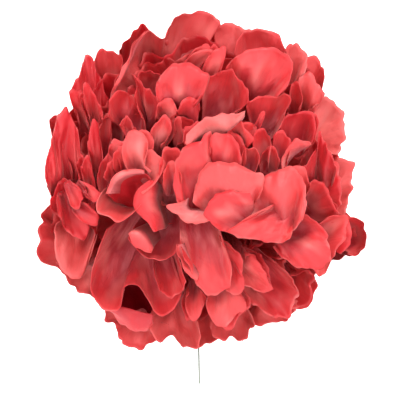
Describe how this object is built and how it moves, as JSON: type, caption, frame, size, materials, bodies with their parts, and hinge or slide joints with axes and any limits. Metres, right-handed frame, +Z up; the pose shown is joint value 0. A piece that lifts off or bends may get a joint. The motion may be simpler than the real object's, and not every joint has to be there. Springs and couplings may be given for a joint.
{
  "type": "flower hair clip",
  "caption": "Ruffled fabric peony head in layered petals, glued with a felt disc to a sprung single prong alligator hair clip.",
  "frame": {"origin": "middle of the clip's grip, on the hair side face of the fixed arm, behind the middle of the flower head", "axes": "+Z up as worn and as pictured, the flower faces -Y, +X to the flower's right as pictured; the clip lies along X with its tips at -X"},
  "size_m": [0.1314, 0.0885, 0.1507],
  "materials": {
    "petal_outer": "coral red stiffened polyester fabric, matte satin, dusky at the base and bright at the edges",
    "petal_middle": "coral red stiffened polyester fabric, matte satin, with pale edges",
    "petal_inner": "coral red stiffened polyester fabric, matte satin, a little pinker",
    "bud": "rolled fabric bud, matte",
    "green_plastic": "moulded, matte",
    "clear_plastic": "moulded, milky",
    "felt": "needled felt, matte",
    "glue": "hot melt glue, satin",
    "stem_wire": "grey green painted wire, satin",
    "clip_steel": "nickel plated, bright",
    "spring_steel": "drawn wire, bright"
  },
  "bodies": {
    "flower": {"petal_layer_01": "petal_outer", "petal_layer_02": "petal_outer", "petal_layer_03": "petal_outer", "petal_layer_04": "petal_outer", "petal_layer_05": "petal_middle", "petal_layer_06": "petal_middle", "petal_layer_07": "petal_middle", "petal_layer_08": "petal_middle", "petal_layer_09": "petal_inner", "petal_layer_10": "petal_inner", "petal_layer_11": "petal_inner", "bud_core": "bud", "core_peg": "green_plastic", "calyx": "green_plastic", "peg_cap": "clear_plastic", "layer_collar_1": "clear_plastic", "layer_collar_2": "clear_plastic", "layer_collar_3": "clear_plastic", "felt_disc": "felt", "glue_pad": "glue", "stem_wire": "stem_wire", "clip_arm": "clip_steel", "hinge_pin": "clip_steel", "torsion_spring": "spring_steel"},
    "jaw": {"clip_jaw": "clip_steel"}
  },
  "joints": [
    {"name": "jaw_hinge", "type": "hinge", "parent": "flower", "child": "jaw", "pos_m": [0.017, 0.0025, 0], "axis": [0, 0, -1], "range_deg": [0, 28], "stiffness_Nm_per_rad": 0.15, "springref_deg": -45.84, "deforming": ["torsion_spring"]}
  ]
}
